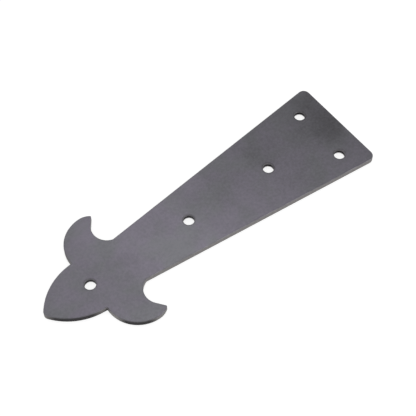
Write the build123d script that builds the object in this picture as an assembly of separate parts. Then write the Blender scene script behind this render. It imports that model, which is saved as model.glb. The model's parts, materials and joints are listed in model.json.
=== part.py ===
from build123d import *

import os

# A decorative hinge front: one flat piece of steel plate, cut to a lily at one end, with a strap that
# widens from the lily's neck to a straight end. Five plain screw holes fix it to a door.
# It lies on its back, face up. The origin is under its middle, on the back face, and +X runs along
# the plate from the lily's tip to the wide end. All sizes are in millimetres and degrees.

# The plate as a whole
plate_length = 152.0
plate_thickness = 2.5
wide_end_width = 46.9
neck_width = 23.0
lily_width = 55.7

# The middle leaf of the lily, from the rounded tip to the notches beside the lobes
tip_radius = 2.4
leaf_side_angle = 54.7
leaf_length = 21.0
leaf_width = 24.7

# The two side lobes: each rises from its notch to a crown, and ends in a barb that points back
crown_from_notch = 14.1
barb_from_crown = 4.8
barb_drop = 1.8

# The scoop under each barb: a straight flank, then an arc that runs down to the strap's neck
flank_length = 4.7
flank_angle = 52.7
neck_from_crown = 5.4

# Corner radii seen from above
notch_radius = 0.3
barb_radius = 0.5
neck_radius = 1.0
wide_corner_radius = 2.9

# Dressed edges of the upper face
face_edge_radius = 0.3
hole_edge_radius = 0.2

# Screw holes, each measured from the end or the side that it belongs to
screw_hole_diameter = 4.75
leaf_hole_from_tip = 21.5
middle_hole_from_tip = 70.2
rear_hole_from_wide_end = 39.8
end_holes_from_wide_end = 11.5
end_hole_side_margin = 10.5

# No dressed edge takes more than a third of the plate's thickness
largest_edge_radius = plate_thickness / 3

tip_x = -plate_length / 2
wide_end_x = plate_length / 2
notch = Vector(tip_x + leaf_length, leaf_width / 2)
crown = Vector(notch.X + crown_from_notch, lily_width / 2)
barb = crown + Vector(barb_from_crown, -barb_drop)
neck = Vector(crown.X + neck_from_crown, neck_width / 2)
wide_corner = Vector(wide_end_x, wide_end_width / 2)


def half_outline():
    """One side of the outline, walked from the tip to the middle of the wide end.

    Each arc leaves its neighbour along a tangent, or meets it at a corner with a name.
    """
    tip_arc = JernArc((tip_x, 0), (0, 1), tip_radius, leaf_side_angle - 90)
    leaf_side = TangentArc(tip_arc @ 1, notch, tangent=tip_arc % 1)
    lobe_front = TangentArc(crown, notch, tangent=(-1, 0))
    lobe_back = TangentArc(crown, barb, tangent=(1, 0))
    flank = PolarLine(barb, flank_length, flank_angle - 180)
    scoop = TangentArc(flank @ 1, neck, tangent=flank % 1)
    strap_side = Line(neck, wide_corner)
    end_half = Line(wide_corner, (wide_end_x, 0))
    return Curve() + [tip_arc, leaf_side, lobe_front, lobe_back, flank, scoop, strap_side, end_half]


def both_sides(face, place):
    """The face's two corners at one named point and at its mirror image across the plate."""
    corners = face.vertices()
    mirrored = Vector(place.X, -place.Y)
    return [corners.sort_by_distance(place)[0], corners.sort_by_distance(mirrored)[0]]


def plate_outline():
    """The whole outline: the two mirrored sides, with the corners rounded to their own radii."""
    side = half_outline()
    face = make_face(side + mirror(side, about=Plane.XZ))
    rounded = [
        (notch, notch_radius),
        (barb, barb_radius),
        (neck, neck_radius),
        (wide_corner, wide_corner_radius),
    ]
    for place, radius in rounded:
        face = fillet(both_sides(face, place), radius)
    return face


def screw_hole_places():
    """The centres of the five screw holes: three along the middle and a pair near the wide end."""
    pair_x = wide_end_x - end_holes_from_wide_end
    pair_y = wide_end_width / 2 - end_hole_side_margin
    return [
        (tip_x + leaf_hole_from_tip, 0),
        (tip_x + middle_hole_from_tip, 0),
        (wide_end_x - rear_hole_from_wide_end, 0),
        (pair_x, pair_y),
        (pair_x, -pair_y),
    ]


def hinge_plate():
    """The cut plate with its screw holes, and with the edges of its upper face dressed round."""
    holes = Locations(*screw_hole_places()) * Circle(screw_hole_diameter / 2)
    plate = extrude(plate_outline() - holes, plate_thickness)
    upper_face = plate.faces().sort_by(Axis.Z)[-1]
    outline_edges = upper_face.outer_wire().edges()
    plate = fillet(outline_edges, min(face_edge_radius, largest_edge_radius))
    upper_face = plate.faces().sort_by(Axis.Z)[-1]
    hole_edges = upper_face.inner_wires().edges()
    return fillet(hole_edges, min(hole_edge_radius, largest_edge_radius))


plate = hinge_plate()
os.makedirs("parts", exist_ok=True)
export_step(plate, "parts/hinge_plate.step")
print("hinge_plate", plate.bounding_box(), "volume", round(plate.volume, 1))
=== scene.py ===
# %% [markdown]
# ## A decorative hinge front in dark patina steel
# The object is one flat piece of steel plate: a lily at one end, a strap that widens to a straight
# end, and five screw holes. Its shape comes from the imported model, so there is no modelling of the
# plate to do here, and its mesh is never touched. What makes the picture is the finish: a thin, dark,
# satin patina that lies in soft clouds, cut walls of barer steel with painted shade on a few of them,
# and an upper edge that was dressed round and rubbed a little brighter, with a painted highlight.

import json
import math

import bpy
from mathutils import Matrix, Vector


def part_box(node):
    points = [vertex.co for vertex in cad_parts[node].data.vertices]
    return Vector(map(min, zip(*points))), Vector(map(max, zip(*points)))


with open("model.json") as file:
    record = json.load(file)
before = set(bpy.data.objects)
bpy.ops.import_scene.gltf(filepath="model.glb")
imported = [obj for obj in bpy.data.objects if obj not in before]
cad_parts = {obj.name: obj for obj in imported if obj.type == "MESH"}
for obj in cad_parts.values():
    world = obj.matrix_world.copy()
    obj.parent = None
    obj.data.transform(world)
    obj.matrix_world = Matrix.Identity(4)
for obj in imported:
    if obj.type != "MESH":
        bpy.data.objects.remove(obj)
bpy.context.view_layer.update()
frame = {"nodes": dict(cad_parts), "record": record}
plate = frame["nodes"]["hinge_plate"]
plate_low, plate_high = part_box("hinge_plate")
plate_length = plate_high.x - plate_low.x
plate_thickness = plate_high.z - plate_low.z
print("plate", round(plate_length * 1000, 1), "mm long,", round(plate_thickness * 1000, 2), "mm thick")

# %% [markdown]
# ## The camera
# The photograph looks down on the plate from in front, with the lily nearer than the wide end. A
# camera can be set by eye, or worked out from known shapes. Here it was fitted to the plate's
# symmetric outline and its holes. An outline alone can't tell the lens from a tilt of the camera, so
# the camera was taken as level, with the middle of the picture as its axis, and the lens is the one
# that fitted best. The distance and the aim were then trimmed against the render. The
# direction is an azimuth and an elevation. Written as angles the numbers stay readable, and one
# matrix built from the three view directions places the camera with no tracking constraint.

# %% Camera
image_pixels = 416
focal_pixels = 1100.0
sensor_mm = 36.0
camera_azimuth = math.radians(37.84)
camera_elevation = math.radians(57.18)
camera_distance = 0.452
aim_right = 0.00324
aim_up = 0.00318
nearest_seen = 0.01


def look_from(azimuth, elevation):
    """The camera's right, up and forward directions.

    Right lies flat and is turned by the azimuth. Forward points down by the elevation.
    Up is square to both.
    """
    right = Vector((math.cos(azimuth), -math.sin(azimuth), 0))
    level = Vector((math.sin(azimuth), math.cos(azimuth), 0))
    forward = level * math.cos(elevation) - Vector((0, 0, math.sin(elevation)))
    return right, right.cross(forward), forward


camera_right, camera_up, camera_forward = look_from(camera_azimuth, camera_elevation)
camera_data = bpy.data.cameras.new("photo_camera")
camera_data.sensor_width = sensor_mm
camera_data.lens = focal_pixels / image_pixels * sensor_mm
camera_data.clip_start = nearest_seen
camera = bpy.data.objects.new("photo_camera", camera_data)
aim = camera_right * aim_right + camera_up * aim_up
turn = Matrix((camera_right, camera_up, -camera_forward)).transposed().to_4x4()
camera.matrix_world = Matrix.Translation(aim - camera_forward * camera_distance) @ turn
bpy.context.scene.collection.objects.link(camera)
bpy.context.scene.camera = camera
print("lens", round(camera_data.lens, 1), "mm, camera at", [round(c, 3) for c in camera.location])

# %% [markdown]
# ## Helpers for node graphs
# The light, the floor and the steel are all graphs of nodes. Each could be clicked together by hand.
# In a script, four small helpers keep the graphs short enough to read: one adds a node with its
# options and input values, one joins an output to an input, one does a sum with a Math node, and one
# takes a range of values to another range.

# %% Node helpers


def add_node(tree, kind, inputs=None, **options):
    """Adds a node of that kind, sets its options, then its input values by name or place."""
    node = tree.nodes.new(kind)
    for name, value in options.items():
        setattr(node, name, value)
    for key, value in (inputs or {}).items():
        node.inputs[key].default_value = value
    return node


def join(tree, output, target):
    """Links one output socket to one input socket."""
    tree.links.new(output, target)


def sum_of(tree, operation, first, second=None, third=None, clamp=False):
    """A Math node. Each term is a number or the output socket of another node."""
    node = add_node(tree, "ShaderNodeMath", operation=operation, use_clamp=clamp)
    for place, term in enumerate((first, second, third)):
        if term is None:
            continue
        if isinstance(term, (int, float)):
            node.inputs[place].default_value = term
        else:
            join(tree, term, node.inputs[place])
    return node.outputs[0]


def remap(tree, value, low, high, to_low=0.0, to_high=1.0, smooth=False):
    """A Map Range node: takes low..high to to_low..to_high, and holds the ends."""
    kind = "SMOOTHSTEP" if smooth else "LINEAR"
    node = add_node(tree, "ShaderNodeMapRange", {"From Min": low, "From Max": high, "To Min": to_low,
                                                 "To Max": to_high}, interpolation_type=kind)
    join(tree, value, node.inputs["Value"])
    return node.outputs["Result"]


print("helpers add_node, join, sum_of and remap are ready")

# %% [markdown]
# ## The light
# A satin metal shows what is around it, so the surroundings are half of its look. Lamps close to the
# plate would light it too, but they draw hard bright lines along a dressed edge. So most of the light
# is a soft room, brighter overhead than at the sides, at the plain level where a color renders about
# as it is written. The room is the world's gradient, because that has no edges to show in the metal.
# Only the camera sees the room as plain white, through the Light Path node, for the views where its
# walls show behind the plate. The metal mirrors the room at its own levels, which are darker than
# the white, and the finish was matched to the photograph under these levels. The photograph can't
# tell a dimmer room from a darker patina, so this is one answer of several.

# %% The soft room
white = (1.0, 1.0, 1.0, 1.0)
ceiling_level = 0.76
horizon_level = 0.43
ceiling_height = 0.9

world = bpy.data.worlds.new("soft_room")
bpy.context.scene.world = world
world.use_nodes = True
room = world.node_tree
room.nodes.clear()
direction = add_node(room, "ShaderNodeTexCoord")
height = add_node(room, "ShaderNodeSeparateXYZ")
join(room, direction.outputs["Generated"], height.inputs["Vector"])
level = remap(room, height.outputs["Z"], 0.0, ceiling_height, horizon_level, ceiling_level)
looked_at = add_node(room, "ShaderNodeLightPath").outputs["Is Camera Ray"]
level = sum_of(room, "MAXIMUM", level, looked_at)
air = add_node(room, "ShaderNodeBackground", {"Color": white})
join(room, level, air.inputs["Strength"])
room_out = add_node(room, "ShaderNodeOutputWorld")
join(room, air.outputs["Background"], room_out.inputs["Surface"])
print("room light", horizon_level, "at the sides to", ceiling_level, "overhead")

# %% [markdown]
# ## The window and the low card
# The face goes from light at the lily's neck to darker at the wide end. A part of that slow change
# comes from one broad window, high up behind the plate, whose reflection the satin surface blurs. The
# cut walls face the other way, and a dim card low in front of them gives them a little light from the
# side. Both are area lamps. A lamp's power is worked out from the brightness that a mirror would
# show, because that number stays the same when the lamp changes its size or its distance.

# %% The window and the low card


def soft_lamp(name, azimuth, elevation, distance, width, height, brightness):
    """A rectangular lamp that faces the plate.

    The azimuth turns from +X towards +Y. Brightness is what a mirror would show, so the power is
    brightness times pi times the lamp's area.
    """
    data = bpy.data.lights.new(name, "AREA")
    data.shape = "RECTANGLE"
    data.size = width
    data.size_y = height
    data.energy = brightness * math.pi * width * height
    lamp = bpy.data.objects.new(name, data)
    level_reach = distance * math.cos(elevation)
    place = Vector((level_reach * math.cos(azimuth),
                    level_reach * math.sin(azimuth),
                    distance * math.sin(elevation)))
    lamp.location = place
    lamp.rotation_euler = (-place).to_track_quat("-Z", "Y").to_euler()
    lamp.visible_camera = False
    bpy.context.scene.collection.objects.link(lamp)
    print(name, "at", [round(c, 2) for c in place], "power", round(data.energy, 2), "W")


window_azimuth = math.radians(50)
window_elevation = math.radians(65)
window_distance = 1.2
window_size = 0.5
window_brightness = 1.09
soft_lamp("window", window_azimuth, window_elevation, window_distance,
          window_size, window_size, window_brightness)

card_azimuth = math.radians(-78)
card_elevation = math.radians(16)
card_distance = 0.8
card_width = 0.8
card_height = 0.4
card_brightness = 0.8
soft_lamp("low_card", card_azimuth, card_elevation, card_distance,
          card_width, card_height, card_brightness)

# %% [markdown]
# ## The floor
# The photograph's ground is pure white, with hardly a shadow. A floor lit to that white would glare
# on the metal. So for the light it is a plain grey paper, and two lifts of emission, chosen with the
# Light Path node, brighten it only where it is looked at: one for what is seen straight or through
# glass, and a smaller one for what the metal mirrors, which gives the cut walls most of their
# brightness. The first lift only just reaches white, because the paper takes the plate's soft contact
# shadow, and more lift would hide it. From below, the paper is clear, so that the plate's back can be
# looked at too.

# %% Paper floor
floor_half = 3.0
floor_gap = 0.00005
paper_color = (0.36, 0.36, 0.36, 1.0)
seen_lift = 0.80
mirrored_lift = 0.56

floor_mesh = bpy.data.meshes.new("paper_floor")
corners = [(-floor_half, -floor_half, 0), (floor_half, -floor_half, 0),
           (floor_half, floor_half, 0), (-floor_half, floor_half, 0)]
floor_mesh.from_pydata(corners, [], [(0, 1, 2, 3)])
floor = bpy.data.objects.new("paper_floor", floor_mesh)
floor.location.z = plate_low.z - floor_gap
bpy.context.scene.collection.objects.link(floor)

paper = bpy.data.materials.new("white_paper")
paper.use_nodes = True
paper_tree = paper.node_tree
paper_tree.nodes.clear()
matt = add_node(paper_tree, "ShaderNodeBsdfDiffuse", {"Color": paper_color})
path = add_node(paper_tree, "ShaderNodeLightPath")
seen = sum_of(paper_tree, "MAXIMUM", path.outputs["Is Camera Ray"], path.outputs["Is Transmission Ray"])
mirrored = sum_of(paper_tree, "MULTIPLY", path.outputs["Is Glossy Ray"], mirrored_lift)
glow = sum_of(paper_tree, "MULTIPLY_ADD", seen, seen_lift, mirrored)
lift = add_node(paper_tree, "ShaderNodeEmission", {"Color": white})
join(paper_tree, glow, lift.inputs["Strength"])
lit_paper = add_node(paper_tree, "ShaderNodeAddShader")
join(paper_tree, matt.outputs["BSDF"], lit_paper.inputs[0])
join(paper_tree, lift.outputs["Emission"], lit_paper.inputs[1])

from_below = add_node(paper_tree, "ShaderNodeNewGeometry").outputs["Backfacing"]
clear = add_node(paper_tree, "ShaderNodeBsdfTransparent")
one_sided = add_node(paper_tree, "ShaderNodeMixShader")
join(paper_tree, from_below, one_sided.inputs["Fac"])
join(paper_tree, lit_paper.outputs["Shader"], one_sided.inputs[1])
join(paper_tree, clear.outputs["BSDF"], one_sided.inputs[2])
paper_out = add_node(paper_tree, "ShaderNodeOutputMaterial")
join(paper_tree, one_sided.outputs["Shader"], paper_out.inputs["Surface"])
floor_mesh.materials.append(paper)
print("floor", 2 * floor_half, "m square")

# %% [markdown]
# ## Helpers for node groups
# The steel's finish is made of separate effects: where its walls are, its clouds, its grain. Each is
# a node group, a small graph with named sockets, so that it can be read and tried on its own and used
# again with other values. One helper starts such a group, and one places it in a material.

# %% Group helpers


def start_group(name, inputs, outputs):
    """A shader node group. Each input is (name, socket kind, value), each output (name, socket kind)."""
    group = bpy.data.node_groups.new(name, "ShaderNodeTree")
    for socket_name, kind, value in inputs:
        socket = group.interface.new_socket(socket_name, in_out="INPUT", socket_type=kind)
        if value is not None:
            socket.default_value = value
    for socket_name, kind in outputs:
        group.interface.new_socket(socket_name, in_out="OUTPUT", socket_type=kind)
    entry = group.nodes.new("NodeGroupInput")
    result = group.nodes.new("NodeGroupOutput")
    return group, entry.outputs, result.inputs


def use_group(tree, group, values=None):
    """Places a group in a material with this material's own values."""
    node = add_node(tree, "ShaderNodeGroup", node_tree=group)
    for key, value in (values or {}).items():
        if isinstance(value, bpy.types.NodeSocket):
            join(tree, value, node.inputs[key])
        else:
            node.inputs[key].default_value = value
    return node.outputs


print("helpers start_group and use_group are ready")

# %% [markdown]
# ## Where the finish changes
# The plate has three kinds of surface: the broad faces, the cut walls, and the small rounding that
# joins the upper face to the walls. They could be told apart by painting, but the plate's height does
# it exactly: below the rounding a wall, inside it the dressed edge. The broad faces are where the
# surface points up or down. The group gives one mask for the walls and one for the dressed edge.
# Each mask fades in over a part of the rounding, so that no hard line shows between two finishes.

# %% Surface masks
edge_rounding = 0.0003
face_tilt_from = 0.93
face_tilt_full = 0.985
wall_fades_by = 0.45
edge_starts_at = 0.1
edge_full_at = 0.5

surface_masks, given, result = start_group(
    "surface_masks",
    [("Edge start", "NodeSocketFloat", plate_thickness - edge_rounding),
     ("Top", "NodeSocketFloat", plate_thickness)],
    [("Wall", "NodeSocketFloat"), ("Edge", "NodeSocketFloat")])
coordinates = add_node(surface_masks, "ShaderNodeTexCoord")
position = add_node(surface_masks, "ShaderNodeSeparateXYZ")
join(surface_masks, coordinates.outputs["Object"], position.inputs["Vector"])
facing = add_node(surface_masks, "ShaderNodeSeparateXYZ")
join(surface_masks, coordinates.outputs["Normal"], facing.inputs["Vector"])
tilt = sum_of(surface_masks, "ABSOLUTE", facing.outputs["Z"])
upright = remap(surface_masks, tilt, face_tilt_from, face_tilt_full, 1.0, 0.0, smooth=True)
climbed = sum_of(surface_masks, "SUBTRACT", position.outputs["Z"], given["Edge start"])
climb = sum_of(surface_masks, "SUBTRACT", given["Top"], given["Edge start"])
climbed = sum_of(surface_masks, "DIVIDE", climbed, climb, clamp=True)
wall = remap(surface_masks, climbed, 0.0, wall_fades_by, 1.0, 0.0, smooth=True)
join(surface_masks, sum_of(surface_masks, "MULTIPLY", wall, upright), result["Wall"])
rise = remap(surface_masks, climbed, edge_starts_at, edge_full_at, smooth=True)
join(surface_masks, sum_of(surface_masks, "MULTIPLY", rise, upright), result["Edge"])
print("walls below", round((plate_thickness - edge_rounding) * 1000, 2), "mm, dressed edge above")

# %% [markdown]
# ## Helpers for colors and noise
# A finish is mostly noise at the right sizes, mixed into colors. Three helpers say that in plain
# terms: a blend of two colors, a noise whose size is given in metres, and a Mapping node that moves or
# stretches the place where a noise is read. A Mix node holds one set of sockets for each kind of
# data, under the same names, so the blend picks the color set by its places.

# %% Color and noise helpers
mix_color_inputs = (6, 7)
mix_color_output = 2


def blend(tree, share, first, second, mode="MIX"):
    """A color Mix node. Each color is a tuple or an output socket."""
    node = add_node(tree, "ShaderNodeMix", data_type="RGBA", blend_type=mode)
    if isinstance(share, (int, float)):
        node.inputs[0].default_value = share
    else:
        join(tree, share, node.inputs[0])
    for place, color in zip(mix_color_inputs, (first, second)):
        if isinstance(color, tuple):
            node.inputs[place].default_value = color
        else:
            join(tree, color, node.inputs[place])
    return node.outputs[mix_color_output]


def noise(tree, vector, size, detail=3.0, roughness=0.5, distortion=0.0):
    """A Noise node whose features are about size metres across. Gives the value, 0 to 1."""
    node = add_node(tree, "ShaderNodeTexNoise", {"Scale": 1 / size, "Detail": detail,
                                                 "Roughness": roughness, "Distortion": distortion})
    join(tree, vector, node.inputs["Vector"])
    return node.outputs["Fac"]


def moved(tree, vector, offset=(0, 0, 0), scale=(1, 1, 1)):
    """A Mapping node, so that two noises of one size don't repeat each other, or a noise is stretched."""
    node = add_node(tree, "ShaderNodeMapping", {"Location": offset, "Scale": scale})
    join(tree, vector, node.inputs["Vector"])
    return node.outputs["Vector"]


print("helpers blend, noise and moved are ready")

# %% [markdown]
# ## The patina
# Dark patina is a chemical skin on the steel. It is never one flat tone: it lies in soft clouds a
# centimetre or two across, a little warmer and violet here, cooler and greenish there, with a fine
# speckle where it took the grain of the steel. Four fractal noises give it: two choose between the
# two tints, and two more decide how far the color goes to the dark tone. All but the first are read
# at an offset, so that no two follow each other. A Darkness socket lets a material add darker places
# of its own.

# %% Patina clouds
violet_grey = (0.165, 0.153, 0.184, 1.0)
green_grey = (0.152, 0.151, 0.165, 1.0)
dark_grey = (0.075, 0.073, 0.079, 1.0)
cloud_size = 0.014
cloud_depth = 0.14
fine_cloud_size = 0.0028
fine_cloud_share = 0.2
speckle_size = 0.0011
speckle_depth = 0.23
fine_offset = (0.21, 0.13, 0.4)
depth_offset = (0.37, 0.71, 0.2)
speckle_offset = (0.53, 0.31, 0.6)
tint_turns_from, tint_turns_to = 0.42, 0.58
depth_from, depth_to = 0.42, 0.72
speckle_from, speckle_to = 0.3, 0.7

patina_clouds, given, result = start_group(
    "patina_clouds",
    [("Vector", "NodeSocketVector", None), ("Violet", "NodeSocketColor", violet_grey),
     ("Green", "NodeSocketColor", green_grey), ("Dark", "NodeSocketColor", dark_grey),
     ("Darkness", "NodeSocketFloat", 0.0)],
    [("Color", "NodeSocketColor"), ("Cloud", "NodeSocketFloat")])

broad = noise(patina_clouds, given["Vector"], cloud_size, detail=3.0, roughness=0.5, distortion=0.35)
fine_place = moved(patina_clouds, given["Vector"], fine_offset)
fine = noise(patina_clouds, fine_place, fine_cloud_size, detail=4.0, roughness=0.6)
tint = sum_of(patina_clouds, "MULTIPLY", broad, 1 - fine_cloud_share)
tint = sum_of(patina_clouds, "MULTIPLY_ADD", fine, fine_cloud_share, tint)
tint = remap(patina_clouds, tint, tint_turns_from, tint_turns_to)
tone = blend(patina_clouds, tint, given["Green"], given["Violet"])

depth_place = moved(patina_clouds, given["Vector"], depth_offset)
depth = noise(patina_clouds, depth_place, cloud_size, detail=4.0, roughness=0.55, distortion=0.3)
depth = remap(patina_clouds, depth, depth_from, depth_to, to_high=cloud_depth)
speckle_place = moved(patina_clouds, given["Vector"], speckle_offset)
speckle = noise(patina_clouds, speckle_place, speckle_size, detail=2.0, roughness=0.6)
speckle = remap(patina_clouds, speckle, speckle_from, speckle_to, to_high=speckle_depth)
depth = sum_of(patina_clouds, "ADD", depth, speckle)
depth = sum_of(patina_clouds, "ADD", depth, given["Darkness"], clamp=True)
join(patina_clouds, blend(patina_clouds, depth, tone, given["Dark"]), result["Color"])
join(patina_clouds, depth, result["Cloud"])
print("patina clouds have", len(patina_clouds.nodes), "nodes")

# %% [markdown]
# ## Soft spots
# Some changes sit in given places, such as the dark place at the middle of the wide end, and noise
# alone wouldn't put them there. They could be painted on an image. A soft spot is simpler: a mask
# that is 1 at a centre and falls smoothly to 0 at a radius.

# %% Soft spot
soft_spot, given, result = start_group(
    "soft_spot",
    [("Vector", "NodeSocketVector", None), ("Centre", "NodeSocketVector", (0, 0, 0)),
     ("Radius", "NodeSocketFloat", 0.01)],
    [("Mask", "NodeSocketFloat")])
reach = add_node(soft_spot, "ShaderNodeVectorMath", operation="DISTANCE")
join(soft_spot, given["Vector"], reach.inputs[0])
join(soft_spot, given["Centre"], reach.inputs[1])
share = sum_of(soft_spot, "DIVIDE", reach.outputs["Value"], given["Radius"])
join(soft_spot, remap(soft_spot, share, 0.0, 1.0, 1.0, 0.0, smooth=True), result["Mask"])


def add_spots(tree, vector, places, spot_height):
    """Soft spots, added up. Each place is x, y and radius in millimetres, then a strength."""
    total = None
    for x_mm, y_mm, radius_mm, strength in places.values():
        spot = use_group(tree, soft_spot, {"Vector": vector, "Radius": radius_mm / 1000,
                                           "Centre": (x_mm / 1000, y_mm / 1000, spot_height)})
        part = sum_of(tree, "MULTIPLY", spot["Mask"], strength)
        total = part if total is None else sum_of(tree, "ADD", total, part)
    return total


print("soft spot has", len(soft_spot.nodes), "nodes")

# %% [markdown]
# ## Beside a screw hole
# The wall of a bore looks unlike the outer walls, and painted shade darkens the patina a little on the
# narrow rim round each hole. Both need to know how near a hole is. The mask is 1 within a radius from
# the hole's axis, at any height, and fades out over a short distance. The holes' places come from the
# record, so the mask follows the real holes.

# %% Mask beside a screw hole
hole_fade = 0.0003
keep_x_and_y = (1.0, 1.0, 0.0)

beside_hole, given, result = start_group(
    "beside_hole",
    [("Vector", "NodeSocketVector", None), ("Centre", "NodeSocketVector", (0, 0, 0)),
     ("Radius", "NodeSocketFloat", 0.002), ("Fade", "NodeSocketFloat", hole_fade)],
    [("Mask", "NodeSocketFloat")])
flat_place = add_node(beside_hole, "ShaderNodeVectorMath", {1: keep_x_and_y}, operation="MULTIPLY")
join(beside_hole, given["Vector"], flat_place.inputs[0])
reach = add_node(beside_hole, "ShaderNodeVectorMath", operation="DISTANCE")
join(beside_hole, flat_place.outputs["Vector"], reach.inputs[0])
join(beside_hole, given["Centre"], reach.inputs[1])
past = sum_of(beside_hole, "SUBTRACT", reach.outputs["Value"], given["Radius"])
past = sum_of(beside_hole, "DIVIDE", past, given["Fade"], clamp=True)
join(beside_hole, sum_of(beside_hole, "SUBTRACT", 1.0, past), result["Mask"])
print("hole mask has", len(beside_hole.nodes), "nodes")

# %% [markdown]
# ## The grain
# Rolled steel keeps a fine, even grain under the patina. From a distance it only makes the gloss
# satin. Close up it breaks the reflections into small glints. Two sizes of noise, added, give its
# height for a Bump node, and the same value moves the roughness a little. On the cut walls the noise
# is stretched across the thickness, which gives the upright lines that a cutting beam leaves.

# %% Steel grain
small_grain_size = 0.35
small_grain_share = 0.4

steel_grain, given, result = start_group(
    "steel_grain",
    [("Vector", "NodeSocketVector", None), ("Size", "NodeSocketFloat", 0.0004)],
    [("Height", "NodeSocketFloat")])
scaled = add_node(steel_grain, "ShaderNodeVectorMath", operation="DIVIDE")
join(steel_grain, given["Vector"], scaled.inputs[0])
join(steel_grain, given["Size"], scaled.inputs[1])
coarse = noise(steel_grain, scaled.outputs["Vector"], 1.0, detail=2.0, roughness=0.55)
small = noise(steel_grain, scaled.outputs["Vector"], small_grain_size, detail=2.0, roughness=0.6)
grain = sum_of(steel_grain, "MULTIPLY", coarse, 1 - small_grain_share)
grain = sum_of(steel_grain, "MULTIPLY_ADD", small, small_grain_share, grain)
join(steel_grain, grain, result["Height"])
print("grain has", len(steel_grain.nodes), "nodes")

# %% [markdown]
# ## The steel, begun
# All effects meet in one material with one Principled shader. It begins with the places that the
# others read: the Object coordinates, the masks of wall and edge, and the mask beside the holes, which
# is the largest of the five holes' own masks at each point.

# %% Start the material
rim_reach = 0.0004

steel = bpy.data.materials.new("dark_patina_steel")
steel.use_nodes = True
tree = steel.node_tree
shader = tree.nodes["Principled BSDF"]
here = add_node(tree, "ShaderNodeTexCoord").outputs["Object"]
masks = use_group(tree, surface_masks)
bores = [mount for mount in frame["record"]["mounts"] if mount["kind"] == "bore"]
in_hole = None
for bore in bores:
    bore_x, bore_y = bore["pos_m"][:2]
    bore_radius = bore["dims"]["r_mm"] / 1000
    ring = use_group(tree, beside_hole, {"Vector": here, "Centre": (bore_x, bore_y, 0.0),
                                         "Radius": bore_radius + rim_reach})
    in_hole = ring["Mask"] if in_hole is None else sum_of(tree, "MAXIMUM", in_hole, ring["Mask"])
print("masks beside", len(bores), "screw holes")

# %% [markdown]
# ## Darker and paler places
# The wide end is darker as a whole, and darkest at the middle of its edge, and the neck and the strap
# beside it are paler, which is a negative strength. These are partly patina, and partly painted shade
# and painted light that carry on the slow fall of the window's reflection along the face. Two faint
# dark clouds lie in the strap and one between the lobes, and the far lobe is paler. A round spot would
# look drawn, so the place is bent first by a slow noise, and the spots get ragged, cloudy outlines.
# Painted shade darkens the rim round each hole a little too. All these places but far_lobe come from
# another program, which fitted them to the photograph. All these places but far_lobe were fitted to
# the photograph, then rounded and moved a little.

# %% Patina, painted shade and painted light of the face
wander_scale = 90.0
wander_reach = (0.024, 0.024, 0.0)
noise_middle = (0.5, 0.5, 0.5)
# Painted shade on the narrow rim round each hole.
hole_rim_painted_shade = 0.25
# The wide-end places are partly painted shade and the neck places partly painted light, for the fall of
# the window's reflection; the dark clouds in the strap and between the lobes are patina.
patina_and_painted_light_places = {
    "wide_end_edge": (70.0, 1.0, 15.0, 0.36),
    "wide_end_corner": (74.0, 14.0, 13.0, 0.24),
    "wide_end": (66.0, 14.0, 92.0, 0.39),
    "before_rear_hole": (38.5, 6.5, 12.0, 0.12),
    "after_middle_hole": (15.0, 3.5, 13.0, 0.14),
    "beside_leaf_hole": (-43.0, -5.0, 27.0, 0.16),
    "far_lobe": (-43.0, 26.0, 14.0, -0.12),
    "neck": (-31.0, 8.0, 30.0, -0.10),
    "near_neck_side": (-25.0, -12.0, 17.0, -0.19),
    "near_middle_hole": (-8.0, -10.0, 14.0, -0.14),
}

wander = add_node(tree, "ShaderNodeTexNoise", {"Scale": wander_scale, "Detail": 5.0, "Roughness": 0.62})
join(tree, here, wander.inputs["Vector"])
centred = add_node(tree, "ShaderNodeVectorMath", {1: noise_middle}, operation="SUBTRACT")
join(tree, wander.outputs["Color"], centred.inputs[0])
bent = add_node(tree, "ShaderNodeVectorMath", {1: wander_reach}, operation="MULTIPLY_ADD")
join(tree, centred.outputs["Vector"], bent.inputs[0])
join(tree, here, bent.inputs[2])
darkness = add_spots(tree, bent.outputs["Vector"], patina_and_painted_light_places, plate_thickness)
# Adds painted shade on the rims round the holes.
darkness = sum_of(tree, "MULTIPLY_ADD", in_hole, hole_rim_painted_shade, darkness)
clouds = use_group(tree, patina_clouds, {"Vector": here, "Darkness": darkness})
print("patina with", len(patina_and_painted_light_places), "darker and paler places")

# %% [markdown]
# ## The cut walls
# A wall is bare cut steel under a thin patina, lighter than the face. The walls of the leaf, the near
# notch and the lobes, which face the camera and get little of the side light, are darkened with
# painted shade. Inside a hole are three bands split by height: polished steel above, painted shade
# in the middle for the shaded far wall of the bore, and near-white painted light lowest, which carries
# on the bright paper seen through the hole. The grain, stretched upright, makes every wall a little
# streaky through a Multiply blend.

# %% Color of the walls
wall_steel = (0.285, 0.272, 0.270, 1.0)
# A dark color of painted shade, for the walls that face the camera.
wall_painted_shade = (0.045, 0.042, 0.045, 1.0)
# Near-white painted light for the lowest band of a bore, like the paper seen through the hole.
bore_painted_light = (0.80, 0.79, 0.80, 1.0)
# Painted shade for the middle band of a bore, its shaded far wall.
bore_painted_shade = (0.010, 0.009, 0.010, 1.0)
bore_polish = (0.225, 0.215, 0.23, 1.0)
# Places where the walls are darkened with painted shade.
painted_shade_walls = {
    "near_leaf_side": (-68.5, -9.5, 14.5, 2.2),
    "near_notch": (-55.2, -12.4, 2.2, 1.2),
    "near_lobe": (-50.2, -26.0, 9.8, 2.4),
    "far_lobe": (-52.0, 20.0, 14.0, 0.35),
}
bright_band_below = plate_thickness * 0.12
dark_band_from = plate_thickness * 0.22
dark_band_to = plate_thickness * 0.56
polish_above = plate_thickness * 0.72
line_size = 0.0003
line_stretch = 0.08
line_low, line_high = 0.35, 0.65
darkest_line, lightest_line = 0.86, 1.14

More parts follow.
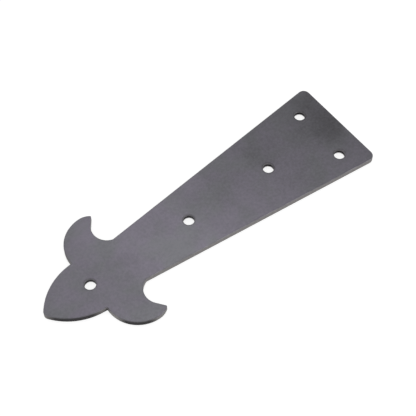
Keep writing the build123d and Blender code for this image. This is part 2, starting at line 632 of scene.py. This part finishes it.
# How far each wall takes the painted shade.
wall_shade_share = remap(tree, add_spots(tree, here, painted_shade_walls, 0.0), 0.0, 1.0)
wall_color = blend(tree, wall_shade_share, wall_steel, wall_painted_shade)
position = add_node(tree, "ShaderNodeSeparateXYZ")
join(tree, here, position.inputs["Vector"])
# The lowest band of a bore, where the near-white painted light goes.
painted_light_band = remap(tree, position.outputs["Z"], dark_band_from, bright_band_below, smooth=True)
polished = remap(tree, position.outputs["Z"], dark_band_to, polish_above, smooth=True)
bore_color = blend(tree, painted_light_band, bore_painted_shade, bore_painted_light)
bore_color = blend(tree, polished, bore_color, bore_polish)
wall_color = blend(tree, in_hole, wall_color, bore_color)

stretched = moved(tree, here, scale=(1, 1, line_stretch))
wall_lines = use_group(tree, steel_grain, {"Vector": stretched, "Size": line_size})
wall_tone = remap(tree, wall_lines["Height"], line_low, line_high, darkest_line, lightest_line)
shade = add_node(tree, "ShaderNodeCombineColor")
for channel in range(3):
    join(tree, wall_tone, shade.inputs[channel])
wall_color = blend(tree, 1.0, wall_color, shade.outputs["Color"], mode="MULTIPLY")
# The places counted here are walls darkened with painted shade.
print("walls with dark scale in", len(painted_shade_walls), "places")

# %% [markdown]
# ## The dressed edge, and the color as a whole
# The dressed edge is where a cloth rubs first, so steel shows there, unevenly, as a patchy noise
# decides, and its pale color is also a painted highlight along the rounding. Beside the shaded walls
# it stays half dark with painted shade, and round the holes it takes the polished steel of the
# bores. The edge is blended over the clouds, and the walls over both, and that is the Base Color.

# %% Base Color
# Rubbed steel, partly a painted highlight along the rounding.
rubbed_steel_and_highlight = (0.30, 0.29, 0.315, 1.0)
# How far the edge beside the shaded walls takes painted shade.
edge_shade_share = 0.45
rub_patch = 0.004
patch_low, patch_high = 0.35, 0.65
least_rub = 0.35

patch = noise(tree, here, rub_patch, detail=3.0, roughness=0.6)
# Where the rubbed steel and the painted highlight go on the edge.
rub_and_highlight = remap(tree, patch, patch_low, patch_high, least_rub, 1.0, smooth=True)
rub_and_highlight = sum_of(tree, "MULTIPLY", masks["Edge"], rub_and_highlight)
edge_shade = sum_of(tree, "MULTIPLY", wall_shade_share, edge_shade_share)
edge_color = blend(tree, edge_shade, rubbed_steel_and_highlight, wall_painted_shade)
edge_color = blend(tree, in_hole, edge_color, bore_polish)
color = blend(tree, rub_and_highlight, clouds["Color"], edge_color)
color = blend(tree, masks["Wall"], color, wall_color)
join(tree, color, shader.inputs["Base Color"])
print("rubbed patches", rub_patch * 1000, "mm across")

# %% [markdown]
# ## How metallic it is
# The patina on the face is a thin skin, so nearly all that the face shows is metal reflection. The
# walls darkened with painted shade are made hardly metallic, so that they stay dull and dark, while
# bare steel and the holes' polished band and painted light band mirror what is near them.

# %% Metallic
face_metal = 0.95
bare_metal = 0.92
# Dull metal for the walls darkened with painted shade.
shaded_wall_metal = 0.15

outside_hole = sum_of(tree, "SUBTRACT", 1.0, in_hole)
bare_bands = sum_of(tree, "ADD", painted_light_band, polished)
bare = sum_of(tree, "SUBTRACT", 1.0, wall_shade_share)
bare = sum_of(tree, "MULTIPLY", bare, outside_hole)
bare = sum_of(tree, "MULTIPLY_ADD", in_hole, bare_bands, bare)
wall_metal = remap(tree, bare, 0.0, 1.0, shaded_wall_metal, bare_metal)
duller = sum_of(tree, "SUBTRACT", face_metal, wall_metal)
duller = sum_of(tree, "MULTIPLY", duller, masks["Wall"])
join(tree, sum_of(tree, "SUBTRACT", face_metal, duller), shader.inputs["Metallic"])
print("metallic", shaded_wall_metal, "to", face_metal)

# %% [markdown]
# ## Roughness and bump
# The gloss is satin: a reflection is there, but blurred. Darker patina is a shade more matt, the
# grain varies it from point to point, and a cut wall is rougher than a rolled face. The same grain
# gives the Bump node its height, a few hundredths of a millimetre, with the upright lines on the
# walls in place of it. The patina's own specular is low and the same all over, so it is set on the
# shader's socket.

# %% Roughness and bump
smoothest = 0.31
dark_roughness = 0.36
grain_roughness = 0.10
wall_roughness = 0.22
grain_size = 0.00035
grain_depth = 0.00004
bump_strength = 0.5
wall_line_depth = 1.5
patina_specular = 0.15

fine_grain = use_group(tree, steel_grain, {"Vector": here, "Size": grain_size})
rough = remap(tree, clouds["Cloud"], 0.0, 1.0, smoothest, dark_roughness)
rough = sum_of(tree, "SUBTRACT", rough, grain_roughness / 2)
rough = sum_of(tree, "MULTIPLY_ADD", fine_grain["Height"], grain_roughness, rough)
rough = sum_of(tree, "MULTIPLY_ADD", masks["Wall"], wall_roughness, rough)
join(tree, rough, shader.inputs["Roughness"])

off_walls = sum_of(tree, "SUBTRACT", 1.0, masks["Wall"])
face_height = sum_of(tree, "MULTIPLY", fine_grain["Height"], off_walls)
line_depth = sum_of(tree, "MULTIPLY", masks["Wall"], wall_line_depth)
relief = sum_of(tree, "MULTIPLY_ADD", wall_lines["Height"], line_depth, face_height)
bump = add_node(tree, "ShaderNodeBump", {"Strength": bump_strength, "Distance": grain_depth})
join(tree, relief, bump.inputs["Height"])
join(tree, bump.outputs["Normal"], shader.inputs["Normal"])
shader.inputs["Specular IOR Level"].default_value = patina_specular
print("grain", round(grain_size * 1000, 2), "mm, wall lines", round(line_size * 1000, 2), "mm apart")

# %% [markdown]
# ## The steel on the plate
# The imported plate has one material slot. The steel goes into it, and the mesh stays as it was packed.

# %% Give the plate its steel
plate.data.materials.clear()
plate.data.materials.append(steel)
print("steel has", len(tree.nodes), "nodes")

# %% [markdown]
# ## The view transform
# The view transform is the plain one, so a color renders as it is written.

# %% View transform
bpy.context.scene.view_settings.view_transform = "Standard"
